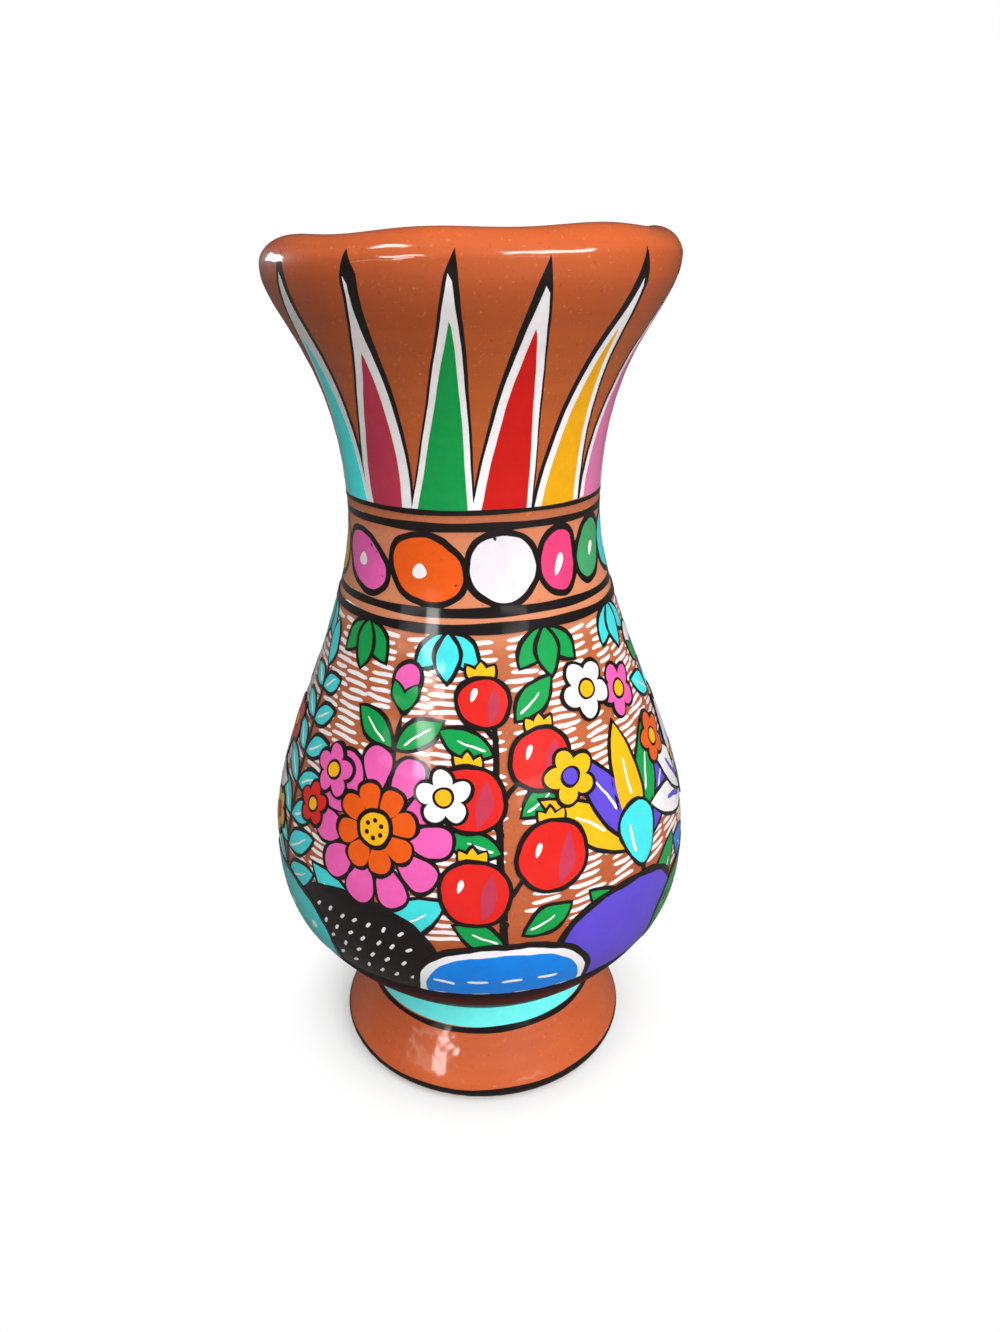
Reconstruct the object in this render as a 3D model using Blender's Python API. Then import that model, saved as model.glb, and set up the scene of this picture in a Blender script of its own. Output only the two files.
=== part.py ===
"""Hand-painted terracotta vase: clay pieces luted together, with painted ornament as thin films.

Metres, +Z up. The axis is Z, the foot stands on Z = 0, and angle 0 faces -Y, counted towards +X.
"""

import math

import bmesh
import bpy
from mathutils import Vector
from mathutils.geometry import interpolate_bezier

# Outer shape: radii, and rises stacked from the ground up
FOOT_RADIUS = 0.0565
FOOT_EDGE_HEIGHT = 0.0065
FOOT_UNDER_ROUND = 0.0094
WAIST_RADIUS = 0.0416
WAIST_HEIGHT = 0.0336
BELLY_RADIUS = 0.0773
BELLY_RISE = 0.0609
NECK_RADIUS = 0.0428
SHOULDER_RISE = 0.1231
LIP_RADIUS = 0.0644
FLARE_RISE = 0.0746
LIP_DROP = 0.0078
LIP_ROUND = 0.0089

# Fullness of the curves, as shares of the rise or spread that each one spans
SKIRT_PULL_UP = (0.630, 0.387)
SKIRT_PULL_DOWN = (0.054, 0.720)
WAIST_PULL = (0.916, 0.460)
BELLY_PULL_DOWN = 0.375
BELLY_PULL_UP = 0.287
NECK_PULL_DOWN = 0.313
NECK_PULL_UP = 0.661
LIP_PULL = 0.193

# Clay walls and joints
WALL = 0.0065
FLOOR = 0.0090
FOOT_BASE_WIDTH = 0.0076
FOOT_SEAT_WIDTH = 0.0041
CLEARANCE = 0.0003
COIL_HEIGHT = 0.0074
COIL_DEPTH = 0.0051
COIL_NOSE = 0.0012
SPIGOT_DEPTH = 0.0040
SPIGOT_WIDTH = 0.0060
SEAM_DROP = 0.0285
RABBET_HEIGHT = 0.0060
NECK_COIL_HEIGHT = 0.0100
NECK_COIL_THICKNESS = 0.0028
RIM_COIL_DROP = 0.0090
RIM_TONGUE_WIDTH = 0.0026
RIM_TONGUE_HEIGHT = 0.0030
LIP_INNER_ROUND = 0.0045
LIP_INNER_DROP = 0.0070

# Painted ornament
FILM = 0.0004
FILM_GAP = 0.0003
SPIKE_COUNT = 14
SPIKES_LEFT_OF_FRONT = 2.5
SPIKE_LINE_GAP = 0.0046
SPIKE_LINE_WIDTH = 0.0014
SPIKE_SPACING = 0.0006
SPIKE_TIP_DROP = 0.0030
SPIKE_TIP_HALF_WIDTH = 0.0005
SPIKE_LEAN = math.radians(8)
COLLAR_UPPER_RISE = 0.0007
COLLAR_LOWER_RISE = 0.0033
COLLAR_LINE_WIDTH = 0.0027
SHOULDER_LINE_DROP = 0.0013
SHOULDER_LINE_WIDTH = 0.0030
DOT_SPACING = 0.0010
DOT_START = math.radians(-66)
DOT_WIDE = (28.0, 34.0, 30.0, 20.5, 18.0)
DOT_COUNT = 13
BELLY_BAND_RISE = 0.0109
BELLY_BAND_WIDTH = 0.0250
WAIST_LINE_WIDTH = 0.0018
FOOT_LINE_LOW = 0.0025
FOOT_LINE_HIGH = 0.0073

# Smoothness
SEGMENTS = 48
CURVE_STEPS = 8
ARC_STEPS = 3
SHARP_ANGLE = math.radians(40)
MERGE_DISTANCE = 0.00001

# Heights that follow from the rises
BELLY_HEIGHT = WAIST_HEIGHT + BELLY_RISE
NECK_HEIGHT = BELLY_HEIGHT + SHOULDER_RISE
LIP_HEIGHT = NECK_HEIGHT + FLARE_RISE
TOP = LIP_HEIGHT + LIP_DROP
SEAM = NECK_HEIGHT - SEAM_DROP
RABBET_TOP = SEAM + RABBET_HEIGHT
RIM_SEAT = LIP_HEIGHT - RIM_COIL_DROP
COIL_BASE = WAIST_HEIGHT - COIL_HEIGHT
NOTCH_RADIUS = WAIST_RADIUS - COIL_DEPTH
FOOT_SEAT = WAIST_HEIGHT - COIL_DEPTH
BASE_RADIUS = FOOT_RADIUS - FOOT_UNDER_ROUND
HOLLOW_RADIUS = BASE_RADIUS - FOOT_BASE_WIDTH
BORE_RADIUS = NOTCH_RADIUS - FOOT_SEAT_WIDTH
COLLAR_UPPER = NECK_HEIGHT + COLLAR_UPPER_RISE
COLLAR_LOWER = SEAM + COLLAR_LOWER_RISE
SPIKE_LINE = COLLAR_UPPER + SPIKE_LINE_GAP

COLOURS = {
    "terracotta": (0.42, 0.13, 0.05),
    "rim_terracotta": (0.50, 0.16, 0.06),
    "raw_clay": (0.48, 0.20, 0.10),
    "black": (0.010, 0.006, 0.006),
    "turquoise": (0.03, 0.49, 0.51),
    "crimson": (0.51, 0.045, 0.10),
    "green": (0.01, 0.32, 0.07),
    "red": (0.67, 0.013, 0.008),
    "yellow": (0.91, 0.48, 0.012),
    "pink": (0.72, 0.19, 0.38),
    "orange": (0.94, 0.12, 0.006),
    "white": (0.86, 0.81, 0.88),
    "rose": (0.82, 0.07, 0.22),
}
SPIKE_COLOURS = ("turquoise", "crimson", "green", "red", "yellow", "pink", "orange")
DOT_COLOURS = ("pink", "orange", "white", "rose", "green", "turquoise", "red",
               "yellow", "pink", "green", "white", "orange", "yellow")


def clear_scene():
    for obj in list(bpy.data.objects):
        bpy.data.objects.remove(obj, do_unlink=True)


def paint(name, roughness=0.25):
    """One glossy Principled material of a named colour."""
    material = bpy.data.materials.get(name) or bpy.data.materials.new(name)
    material.use_nodes = True
    shader = material.node_tree.nodes["Principled BSDF"]
    shader.inputs["Base Color"].default_value = (*COLOURS[name], 1.0)
    shader.inputs["Roughness"].default_value = roughness
    shader.inputs["Metallic"].default_value = 0.0
    material.diffuse_color = (*COLOURS[name], 1.0)
    return material


def add_object(name, mesh, material):
    obj = bpy.data.objects.new(name, mesh)
    obj.data.materials.append(material)
    bpy.context.scene.collection.objects.link(obj)
    return obj


def bezier(start, start_pull, end_pull, end, steps=CURVE_STEPS):
    """Points of one cubic curve in the (radius, height) plane, both ends included."""
    knots = [Vector((*point, 0.0)) for point in (start, start_pull, end_pull, end)]
    return [(point.x, point.y) for point in interpolate_bezier(*knots, steps + 1)]


def arc(centre, radii, start, end, steps=ARC_STEPS):
    """Points of an elliptical arc, angles in degrees from the +radius side."""
    points = []
    for step in range(steps + 1):
        angle = math.radians(start + (end - start) * step / steps)
        points.append((centre[0] + radii[0] * math.cos(angle), centre[1] + radii[1] * math.sin(angle)))
    return points


def wall_curve():
    """Outer side of the wall, from the waist up to the widest ring of the lip."""
    spread = BELLY_RADIUS - WAIST_RADIUS
    waist = (WAIST_RADIUS, WAIST_HEIGHT)
    belly = (BELLY_RADIUS, BELLY_HEIGHT)
    neck = (NECK_RADIUS, NECK_HEIGHT)
    lip = (LIP_RADIUS, LIP_HEIGHT)
    waist_pull = (WAIST_RADIUS + WAIST_PULL[0] * spread, WAIST_HEIGHT + WAIST_PULL[1] * BELLY_RISE)
    lower = bezier(waist, waist_pull, (BELLY_RADIUS, BELLY_HEIGHT - BELLY_PULL_DOWN * BELLY_RISE), belly)
    upper = bezier(
        belly,
        (BELLY_RADIUS, BELLY_HEIGHT + BELLY_PULL_UP * SHOULDER_RISE),
        (NECK_RADIUS, NECK_HEIGHT - NECK_PULL_DOWN * SHOULDER_RISE),
        neck,
    )
    flare = bezier(
        neck,
        (NECK_RADIUS, NECK_HEIGHT + NECK_PULL_UP * FLARE_RISE),
        (LIP_RADIUS, LIP_HEIGHT - LIP_PULL * FLARE_RISE),
        lip,
    )
    return lower + upper[1:] + flare[1:]


def skirt_curve():
    """Outer side of the foot, from its edge up to the waist."""
    spread = FOOT_RADIUS - WAIST_RADIUS
    rise = WAIST_HEIGHT - FOOT_EDGE_HEIGHT
    edge_pull = (WAIST_RADIUS + SKIRT_PULL_UP[0] * spread, FOOT_EDGE_HEIGHT + SKIRT_PULL_UP[1] * rise)
    waist_pull = (WAIST_RADIUS + SKIRT_PULL_DOWN[0] * spread, FOOT_EDGE_HEIGHT + SKIRT_PULL_DOWN[1] * rise)
    return bezier((FOOT_RADIUS, FOOT_EDGE_HEIGHT), edge_pull, waist_pull, (WAIST_RADIUS, WAIST_HEIGHT))


def normals(points):
    """Outward unit normals along a curve that climbs."""
    found = []
    for index in range(len(points)):
        low = points[max(index - 1, 0)]
        high = points[min(index + 1, len(points) - 1)]
        run = math.hypot(high[0] - low[0], high[1] - low[1])
        found.append(((high[1] - low[1]) / run, (low[0] - high[0]) / run))
    return found


def offset(points, distance):
    """The same curve moved along its normals, outwards where the distance is positive."""
    return [(r + n[0] * distance, z + n[1] * distance) for (r, z), n in zip(points, normals(points))]


def radius_at(points, height):
    """Radius of a climbing curve at one height."""
    for low, high in zip(points, points[1:]):
        if low[1] <= height <= high[1]:
            share = (height - low[1]) / (high[1] - low[1])
            return low[0] + share * (high[0] - low[0])
    return points[0][0] if height < points[0][1] else points[-1][0]


def between(points, low, high):
    """The stretch of a climbing curve between two heights, with an end point at each."""
    inside = [point for point in points if low + CLEARANCE < point[1] < high - CLEARANCE]
    return [(radius_at(points, low), low), *inside, (radius_at(points, high), high)]


OUTER = wall_curve()
INNER = offset(OUTER, -WALL)
SKIRT = skirt_curve()


def turned(name, section, material):
    """A closed section in the (radius, height) plane, spun once round the axis."""
    bm = bmesh.new()
    ring = [bm.verts.new((r, 0.0, z)) for r, z in section]
    edges = [bm.edges.new(pair) for pair in zip(ring, ring[1:])]
    if section[0][0] > 0.0:
        edges.append(bm.edges.new((ring[-1], ring[0])))
    bmesh.ops.spin(bm, geom=ring + edges, cent=(0, 0, 0), axis=(0, 0, 1), angle=2 * math.pi,
                   steps=SEGMENTS, use_merge=True)
    bmesh.ops.remove_doubles(bm, verts=bm.verts, dist=MERGE_DISTANCE)
    bmesh.ops.recalc_face_normals(bm, faces=bm.faces)
    mesh = bpy.data.meshes.new(name)
    bm.to_mesh(mesh)
    bm.free()
    mesh.shade_smooth()
    mesh.set_sharp_from_angle(angle=SHARP_ANGLE)
    return add_object(name, mesh, material)


def foot_under():
    """Rounded lower edge of the foot, from its widest ring down to the ground."""
    return arc((BASE_RADIUS, FOOT_EDGE_HEIGHT), (FOOT_UNDER_ROUND, FOOT_EDGE_HEIGHT), 0, -90)


def foot():
    """Flared pedestal ring, hollow underneath, chamfered at its top for the luting coil."""
    skirt = between(SKIRT, FOOT_EDGE_HEIGHT, COIL_BASE)
    hollow = arc((HOLLOW_RADIUS, FOOT_SEAT),
                 (HOLLOW_RADIUS - BORE_RADIUS, FOOT_SEAT - FOOT_EDGE_HEIGHT), 270, 180)
    section = [(NOTCH_RADIUS, FOOT_SEAT)]
    section += skirt[::-1]
    section += foot_under()[1:]
    section += [(HOLLOW_RADIUS, 0.0)]
    section += hollow
    turned("foot", section, paint("terracotta"))


def waist_coil():
    """Luting coil in the notch between foot and belly, smoothed to the skirt outside."""
    foot_slope = (FOOT_SEAT - COIL_BASE) / (radius_at(SKIRT, COIL_BASE) - NOTCH_RADIUS)
    below = CLEARANCE * math.hypot(1.0, foot_slope)
    above = CLEARANCE * math.hypot(1.0, 1.0)
    nose = NOTCH_RADIUS + COIL_NOSE
    section = [
        (nose, FOOT_SEAT + CLEARANCE + COIL_NOSE - above),
        (nose, FOOT_SEAT - COIL_NOSE * foot_slope + below),
    ]
    section += between(SKIRT, COIL_BASE + below, WAIST_HEIGHT - above)
    turned("waist_coil", section, paint("turquoise"))


def belly():
    """Thrown body: spigot ring and floor below, rabbet for the neck above."""
    seat = FOOT_SEAT + CLEARANCE
    floor_top = seat + FLOOR
    spigot = BORE_RADIUS - CLEARANCE
    step = rabbet_radius()
    inside = between(INNER, INNER[0][1], RABBET_TOP)
    section = [
        (0.0, seat),
        (spigot - SPIGOT_WIDTH, seat),
        (spigot - SPIGOT_WIDTH, seat - SPIGOT_DEPTH),
        (spigot, seat - SPIGOT_DEPTH),
        (spigot, seat),
        (NOTCH_RADIUS, seat),
    ]
    section += between(OUTER, WAIST_HEIGHT + CLEARANCE, SEAM)
    section += [(step, SEAM), (step, RABBET_TOP)]
    section += [point for point in inside[::-1] if point[1] > floor_top + CLEARANCE]
    section += [(INNER[0][0] - CLEARANCE, floor_top), (0.0, floor_top)]
    turned("belly", section, paint("terracotta"))


def rabbet_radius():
    """Radius of the step where neck and belly lap, at the middle of the wall."""
    middle = SEAM + RABBET_HEIGHT / 2
    return (radius_at(OUTER, middle) + radius_at(INNER, middle)) / 2


def tongue_radius():
    """Radius of the tongue on the neck's edge, at the middle of the wall."""
    return (radius_at(OUTER, RIM_SEAT) + radius_at(INNER, RIM_SEAT)) / 2


def neck():
    """Flared collar, lapped over the belly's rabbet, with a tongue for the rim coil."""
    step = rabbet_radius() + CLEARANCE
    tongue = tongue_radius()
    half = RIM_TONGUE_WIDTH / 2
    section = between(OUTER, SEAM + CLEARANCE, RIM_SEAT)[::-1]
    section += [(step, SEAM + CLEARANCE), (step, RABBET_TOP + CLEARANCE)]
    section += between(INNER, RABBET_TOP + CLEARANCE, RIM_SEAT)
    section += [
        (tongue - half, RIM_SEAT),
        (tongue - half, RIM_SEAT + RIM_TONGUE_HEIGHT),
        (tongue + half, RIM_SEAT + RIM_TONGUE_HEIGHT),
        (tongue + half, RIM_SEAT),
    ]
    turned("neck", section, paint("terracotta"))


def neck_coil():
    """Thin coil pressed over the seam on the inside of the neck."""
    low = RABBET_TOP - NECK_COIL_HEIGHT / 2
    high = RABBET_TOP + NECK_COIL_HEIGHT / 2
    backing = offset(INNER, -2 * CLEARANCE)
    section = between(backing, low, high)
    for step in range(2 * ARC_STEPS - 1, 0, -1):
        height = low + NECK_COIL_HEIGHT * step / (2 * ARC_STEPS)
        swell = NECK_COIL_THICKNESS * math.sin(math.pi * step / (2 * ARC_STEPS))
        section.append((radius_at(backing, height) - swell, height))
    turned("neck_coil", section, paint("raw_clay", 0.7))


def rim_coil():
    """Thick rolled lip with a groove over the neck's tongue."""
    base = RIM_SEAT + CLEARANCE
    tongue = tongue_radius()
    half = RIM_TONGUE_WIDTH / 2 + CLEARANCE
    crest = LIP_RADIUS - LIP_ROUND
    groove_top = RIM_SEAT + RIM_TONGUE_HEIGHT + CLEARANCE
    section = arc((crest, TOP - LIP_INNER_DROP), (LIP_INNER_ROUND, LIP_INNER_DROP), 180, 90)
    section += arc((crest, LIP_HEIGHT), (LIP_ROUND, LIP_DROP), 90, 0)[1:]
    section += between(OUTER, base, LIP_HEIGHT)[-2::-1]
    section += [
        (tongue + half, base),
        (tongue + half, groove_top),
        (tongue - half, groove_top),
        (tongue - half, base),
        (radius_at(INNER, base), base),
    ]
    turned("rim_coil", section, paint("rim_terracotta"))


def brush_line(name, curve, middle, width):
    """A painted black ring on one of the outer curves."""
    stretch = between(curve, middle - width / 2, middle + width / 2)
    section = offset(stretch, FILM_GAP) + offset(stretch, FILM_GAP + FILM)[::-1]
    turned(name, section, paint("black"))


def on_wall(angle, height):
    """A point just off the painted wall."""
    film_side = offset(OUTER, FILM_GAP)
    radius = radius_at(film_side, height)
    return (radius * math.sin(angle), -radius * math.cos(angle), height)


def film(name, rows, material):
    """A closed film over a grid of (angle, height) rows, thickened outwards."""
    bm = bmesh.new()
    grid = [[bm.verts.new(on_wall(angle, height)) for angle, height in row] for row in rows]
    for low, high in zip(grid, grid[1:]):
        for left in range(len(low) - 1):
            bm.faces.new((low[left], low[left + 1], high[left + 1], high[left]))
    mesh = bpy.data.meshes.new(name)
    bm.to_mesh(mesh)
    bm.free()
    mesh.shade_smooth()
    obj = add_object(name, mesh, material)
    thicken = obj.modifiers.new("thickness", "SOLIDIFY")
    thicken.thickness = FILM
    thicken.offset = 1.0
    return obj


def spike(number, colour):
    """One tall thorn from the brush line up to the lip, leaning as a right hand paints it."""
    base = SPIKE_LINE + SPIKE_LINE_WIDTH / 2 + SPIKE_SPACING
    tip = LIP_HEIGHT - SPIKE_TIP_DROP
    pitch = 2 * math.pi / SPIKE_COUNT
    middle = (number - SPIKES_LEFT_OF_FRONT) * pitch
    half_base = NECK_RADIUS * pitch / 2 - SPIKE_SPACING
    rows = []
    for _, height in between(OUTER, base, tip):
        share = (height - base) / (tip - base)
        half = half_base + share * (SPIKE_TIP_HALF_WIDTH - half_base)
        centre = middle + share * SPIKE_LEAN
        turn = half / radius_at(OUTER, height)
        rows.append([(centre + side * turn, height) for side in (-1, -1 / 3, 1 / 3, 1)])
    film(f"spike_{number + 1:02d}", rows, paint(colour))


def dot_widths():
    """Angular width of each dot's place: the broad ones first, the rest sharing what is left."""
    rest = (360.0 - sum(DOT_WIDE)) / (DOT_COUNT - len(DOT_WIDE))
    return [math.radians(width) for width in (*DOT_WIDE, *[rest] * (DOT_COUNT - len(DOT_WIDE)))]


def dot(number, centre, width, colour):
    """One large round dot between the two collar lines, squashed to its place."""
    low = COLLAR_LOWER + COLLAR_LINE_WIDTH / 2 + DOT_SPACING
    high = COLLAR_UPPER - COLLAR_LINE_WIDTH / 2 - DOT_SPACING
    half_turn = width / 2 - DOT_SPACING / (2 * NECK_RADIUS)
    rows = []
    for step in range(2 * ARC_STEPS + 1):
        lift = -math.cos(math.pi * (step + 0.5) / (2 * ARC_STEPS + 1))
        height = (low + high) / 2 + lift * (high - low) / 2
        half = half_turn * math.sqrt(1.0 - lift * lift)
        rows.append([(centre + half * side / 2, height) for side in (-2, -1, 0, 1, 2)])
    film(f"dot_{number + 1:02d}", rows, paint(colour))


def ornament():
    """Brush lines, the ring of spikes and the ring of dots."""
    brush_line("spike_base_line", OUTER, SPIKE_LINE, SPIKE_LINE_WIDTH)
    brush_line("collar_upper_line", OUTER, COLLAR_UPPER, COLLAR_LINE_WIDTH)
    brush_line("collar_lower_line", OUTER, COLLAR_LOWER, COLLAR_LINE_WIDTH)
    brush_line("shoulder_line", OUTER, SEAM - SHOULDER_LINE_DROP, SHOULDER_LINE_WIDTH)
    band_foot = WAIST_HEIGHT + BELLY_BAND_RISE
    brush_line("belly_base_band", OUTER, band_foot + BELLY_BAND_WIDTH / 2, BELLY_BAND_WIDTH)
    brush_line("waist_line", SKIRT, COIL_BASE - CLEARANCE - WAIST_LINE_WIDTH / 2, WAIST_LINE_WIDTH)
    edge = foot_under()[::-1] + SKIRT[1:]
    middle = (FOOT_LINE_LOW + FOOT_LINE_HIGH) / 2
    brush_line("foot_line", edge, middle, FOOT_LINE_HIGH - FOOT_LINE_LOW)
    for number in range(SPIKE_COUNT):
        spike(number, SPIKE_COLOURS[number % len(SPIKE_COLOURS)])
    start = DOT_START
    for number, width in enumerate(dot_widths()):
        dot(number, start + width / 2, width, DOT_COLOURS[number % len(DOT_COLOURS)])
        start += width


clear_scene()
foot()
waist_coil()
belly()
neck_coil()
neck()
rim_coil()
ornament()
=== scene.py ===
"""The painted terracotta vase: thrown clay, brushed ornament in coats of enamel, varnish over all."""

import math
import random
from typing import NamedTuple

import bpy
import numpy as np
from mathutils import Matrix, Quaternion, Vector


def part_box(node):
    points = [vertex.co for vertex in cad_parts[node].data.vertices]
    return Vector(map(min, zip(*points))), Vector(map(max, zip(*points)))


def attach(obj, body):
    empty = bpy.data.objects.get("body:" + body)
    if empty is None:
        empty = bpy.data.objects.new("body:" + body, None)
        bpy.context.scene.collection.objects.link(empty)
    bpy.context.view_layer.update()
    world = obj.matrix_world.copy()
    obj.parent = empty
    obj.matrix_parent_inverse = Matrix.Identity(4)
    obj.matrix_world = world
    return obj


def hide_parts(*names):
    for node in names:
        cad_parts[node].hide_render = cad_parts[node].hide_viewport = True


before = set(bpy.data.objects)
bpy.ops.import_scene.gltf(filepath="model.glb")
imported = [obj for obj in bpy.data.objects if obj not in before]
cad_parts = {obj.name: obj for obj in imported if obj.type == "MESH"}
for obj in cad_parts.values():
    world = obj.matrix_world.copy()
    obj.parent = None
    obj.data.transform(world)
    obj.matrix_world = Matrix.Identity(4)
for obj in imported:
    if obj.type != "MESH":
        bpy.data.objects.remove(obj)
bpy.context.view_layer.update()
bpy.ops.object.select_all(action="DESELECT")
dice = random.Random(7)


def jitter(amount):
    return dice.uniform(-amount, amount)


# Sizes read from the frame, in metres
RIM_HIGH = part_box("rim_coil")[1]
TOP = RIM_HIGH[2]
LIP_RADIUS = RIM_HIGH[0]
BELLY_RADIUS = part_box("belly")[1][0]
FOOT_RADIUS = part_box("foot")[1][0]
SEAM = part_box("neck")[0][2]

# Sizes of the thrown shape, as the clay pieces have them
FOOT_EDGE_HEIGHT = 0.0065
FOOT_UNDER_ROUND = 0.0094
FOOT_BASE_WIDTH = 0.0076
FOOT_BORE = 0.0324
WAIST_RADIUS = 0.0416
WAIST_HEIGHT = 0.0336
BELLY_RISE = 0.0609
NECK_RADIUS = 0.0428
SHOULDER_RISE = 0.1231
LIP_DROP = 0.0078
LIP_ROUND = 0.0089
LIP_INNER_ROUND = 0.0045
LIP_INNER_DROP = 0.0070
RIM_COIL_DROP = 0.0090
WALL = 0.0065
FLOOR_TOP = 0.0378
FOOT_CEILING = 0.0288
COIL_BASE = 0.0262
COIL_DEPTH = 0.0039
SPIGOT_DEPTH = 0.0051
CLEARANCE = 0.0003
NECK_COIL_BULGE = 0.0028
VARNISH_DEPTH = 0.014
SKIRT_PULL_UP = (0.630, 0.387)
SKIRT_PULL_DOWN = (0.054, 0.720)
WAIST_PULL = (0.916, 0.460)
BELLY_PULL_DOWN = 0.375
BELLY_PULL_UP = 0.287
NECK_PULL_DOWN = 0.313
NECK_PULL_UP = 0.661
LIP_PULL = 0.193
BELLY_HEIGHT = WAIST_HEIGHT + BELLY_RISE
NECK_HEIGHT = BELLY_HEIGHT + SHOULDER_RISE
LIP_HEIGHT = TOP - LIP_DROP
RIM_SEAT = LIP_HEIGHT - RIM_COIL_DROP
BASE_RADIUS = FOOT_RADIUS - FOOT_UNDER_ROUND
SEGMENTS = 300
MM = 0.001


# The wall

def cubic(share, start, start_pull, end_pull, end):
    """A cubic curve at a share of its way."""
    rest = 1.0 - share
    return (rest ** 3 * start + 3 * rest ** 2 * share * start_pull
            + 3 * rest * share ** 2 * end_pull + share ** 3 * end)


def bezier(start, start_pull, end_pull, end, count):
    """Points of a cubic curve in the (radius, height) plane."""
    share = np.linspace(0.0, 1.0, count)[:, None]
    return cubic(share, *[np.array(point) for point in (start, start_pull, end_pull, end)])


def arc(centre, radii, start, end, count):
    """Points of an elliptical arc, angles in degrees from the +radius side."""
    angle = np.radians(np.linspace(start, end, count))
    return np.stack([centre[0] + radii[0] * np.cos(angle), centre[1] + radii[1] * np.sin(angle)], axis=1)


def outer_curve():
    """Outer side of the whole vase, from the ground up to the crest of the lip."""
    lip = (LIP_RADIUS, LIP_HEIGHT)
    neck = (NECK_RADIUS, NECK_HEIGHT)
    belly = (BELLY_RADIUS, BELLY_HEIGHT)
    waist = (WAIST_RADIUS, WAIST_HEIGHT)
    flare_rise = LIP_HEIGHT - NECK_HEIGHT
    spread = FOOT_RADIUS - WAIST_RADIUS
    rise = WAIST_HEIGHT - FOOT_EDGE_HEIGHT
    under = arc((BASE_RADIUS, FOOT_EDGE_HEIGHT), (FOOT_UNDER_ROUND, FOOT_EDGE_HEIGHT), -90, 0, 14)
    skirt = bezier((FOOT_RADIUS, FOOT_EDGE_HEIGHT),
                   (WAIST_RADIUS + SKIRT_PULL_UP[0] * spread, FOOT_EDGE_HEIGHT + SKIRT_PULL_UP[1] * rise),
                   (WAIST_RADIUS + SKIRT_PULL_DOWN[0] * spread, FOOT_EDGE_HEIGHT + SKIRT_PULL_DOWN[1] * rise),
                   waist, 30)
    waist_pull = (WAIST_RADIUS + WAIST_PULL[0] * (BELLY_RADIUS - WAIST_RADIUS),
                  WAIST_HEIGHT + WAIST_PULL[1] * BELLY_RISE)
    lower = bezier(waist, waist_pull, (BELLY_RADIUS, BELLY_HEIGHT - BELLY_PULL_DOWN * BELLY_RISE), belly, 50)
    upper = bezier(belly, (BELLY_RADIUS, BELLY_HEIGHT + BELLY_PULL_UP * SHOULDER_RISE),
                   (NECK_RADIUS, NECK_HEIGHT - NECK_PULL_DOWN * SHOULDER_RISE), neck, 80)
    flare = bezier(neck, (NECK_RADIUS, NECK_HEIGHT + NECK_PULL_UP * flare_rise),
                   (LIP_RADIUS, LIP_HEIGHT - LIP_PULL * flare_rise), lip, 60)
    roll = arc((LIP_RADIUS - LIP_ROUND, LIP_HEIGHT), (LIP_ROUND, LIP_DROP), 0, 90, 20)
    return np.concatenate([under, skirt[1:], lower[1:], upper[1:], flare[1:], roll[1:]])


def normals_of(curve):
    """Outward unit normals along a curve that climbs."""
    run = np.gradient(curve, axis=0)
    normal = np.stack([run[:, 1], -run[:, 0]], axis=1)
    return normal / np.linalg.norm(normal, axis=1)[:, None]


OUTER = outer_curve()
OUTER_NORMAL = normals_of(OUTER)
REACH = np.concatenate([[0.0], np.cumsum(np.linalg.norm(np.diff(OUTER, axis=0), axis=1))])
INNER = (OUTER - WALL * OUTER_NORMAL)[OUTER[:, 1] > FOOT_EDGE_HEIGHT]


def reach_at(height):
    """Distance along the wall, from the ground, of a height on it."""
    return np.interp(height, OUTER[:, 1], REACH)


def thrown_by_hand(angle, height):
    """How far the wall strays from a true circle: sway, a wider lip, runs on the foot, dents and rings."""
    sway = 0.22 * MM * np.sin(2 * angle + 0.6) * np.sin(11 * height)
    sway = sway + 0.14 * MM * np.sin(3 * angle - 1.1 + 24 * height)
    lip = np.clip((height / TOP - 0.88) / 0.10, 0.0, 1.0)
    sway = sway + lip * MM * (0.4 + 0.7 * np.sin(angle))
    foot = np.clip((27 * MM - height) / (5 * MM), 0.0, 1.0)
    runs = np.sin(58 * angle + 1.5 * np.sin(900 * height)) * (0.6 + 0.4 * np.sin(1300 * height + 11 * angle))
    sway = sway + foot * 0.05 * MM * runs
    crest = np.clip((height / TOP - 0.96) / 0.01, 0.0, 1.0)
    dents = np.sin(41 * angle + 2.0 * np.sin(7 * angle)) * np.sin(1100 * height + 6 * angle)
    sway = sway + crest * 0.035 * MM * dents
    return sway + 0.03 * MM * np.sin(2 * math.pi * height / (7.5 * MM) + 0.8 * np.sin(angle))


def lip_rise(angle, height):
    """How far the hand-rolled lip rises and sinks on its way round."""
    share = np.clip((height / TOP - 0.91) / 0.09, 0.0, 1.0) ** 2
    return share * MM * (0.55 + 0.65 * np.sin(angle) + 0.45 * np.cos(7 * angle + 1.5))


def on_wall(angle, reach, lift):
    """Points in space at an angle, a distance along the wall and a lift off it."""
    radius = np.interp(reach, REACH, OUTER[:, 0]) + lift * np.interp(reach, REACH, OUTER_NORMAL[:, 0])
    height = np.interp(reach, REACH, OUTER[:, 1])
    radius = radius + thrown_by_hand(angle, height)
    height = height + lip_rise(angle, height) + lift * np.interp(reach, REACH, OUTER_NORMAL[:, 1])
    return np.stack([radius * np.sin(angle), -radius * np.cos(angle), height], axis=-1)


# Finishes

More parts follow.
